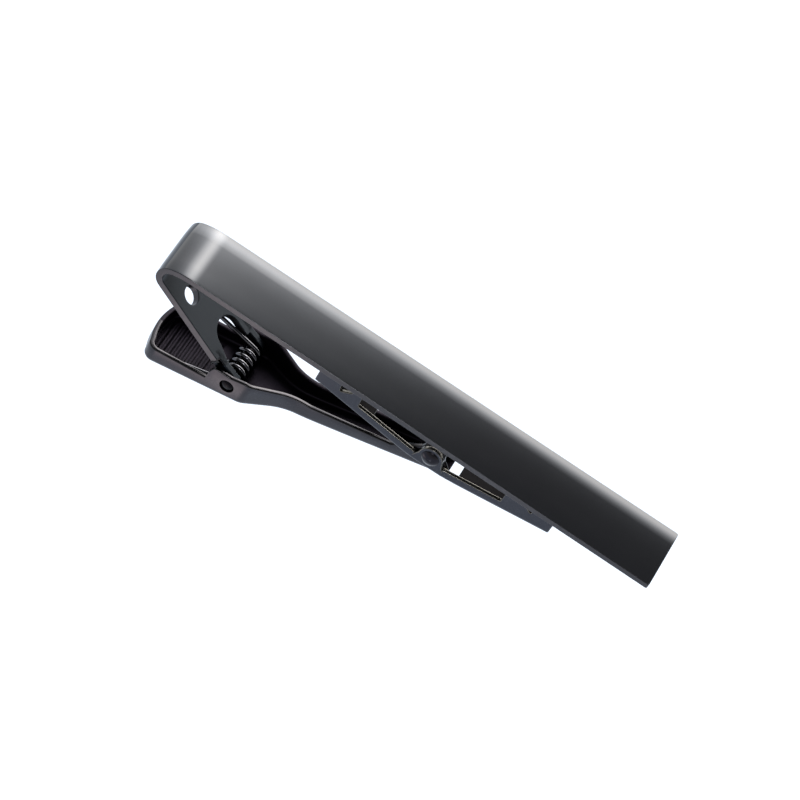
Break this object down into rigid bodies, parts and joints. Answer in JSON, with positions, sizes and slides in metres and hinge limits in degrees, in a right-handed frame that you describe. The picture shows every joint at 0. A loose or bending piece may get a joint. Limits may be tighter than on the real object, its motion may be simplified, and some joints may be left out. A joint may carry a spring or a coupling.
{
  "type": "tie clip",
  "caption": "Folded metal tie clip with a flat front bar, a sprung thumb lever on a pin and a toothed gripper foot that swivels on a rivet.",
  "frame": {"origin": "centre of the flat front face", "axes": "+Z out of the front face, +X from the fold to the free end, +Y across the bar"},
  "size_m": [0.058, 0.0078, 0.0147],
  "materials": {
    "polished_gunmetal": "black nickel plating over polished steel, glossy with a soft haze",
    "satin_gunmetal": "black nickel plating over pressed steel, satin",
    "gunmetal_pins": "black nickel plating over turned steel, polished heads",
    "spring_wire": "plated spring wire, bright along the crests"
  },
  "bodies": {
    "bar": {"face_bar": "polished_gunmetal", "pivot_pin": "gunmetal_pins", "torsion_spring": "spring_wire"},
    "lever": {"lever": "satin_gunmetal", "foot_rivet": "gunmetal_pins"},
    "foot": {"gripper_foot": "satin_gunmetal"}
  },
  "joints": [
    {"name": "lever_pivot", "type": "hinge", "parent": "bar", "child": "lever", "pos_m": [-0.0171, 0, -0.01066], "axis": [0, 1, 0], "range_deg": [0, 35], "stiffness_Nm_per_rad": 0.02, "springref_deg": -68.75, "deforming": ["torsion_spring"]},
    {"name": "foot_swivel", "type": "hinge", "parent": "lever", "child": "foot", "pos_m": [0.004, 0, -0.00425], "axis": [0, 1, 0], "range_deg": [-10.5, 0]}
  ],
  "couplings": [
    {"joint": "foot_swivel", "follows": "lever_pivot", "ratio": -0.3}
  ]
}
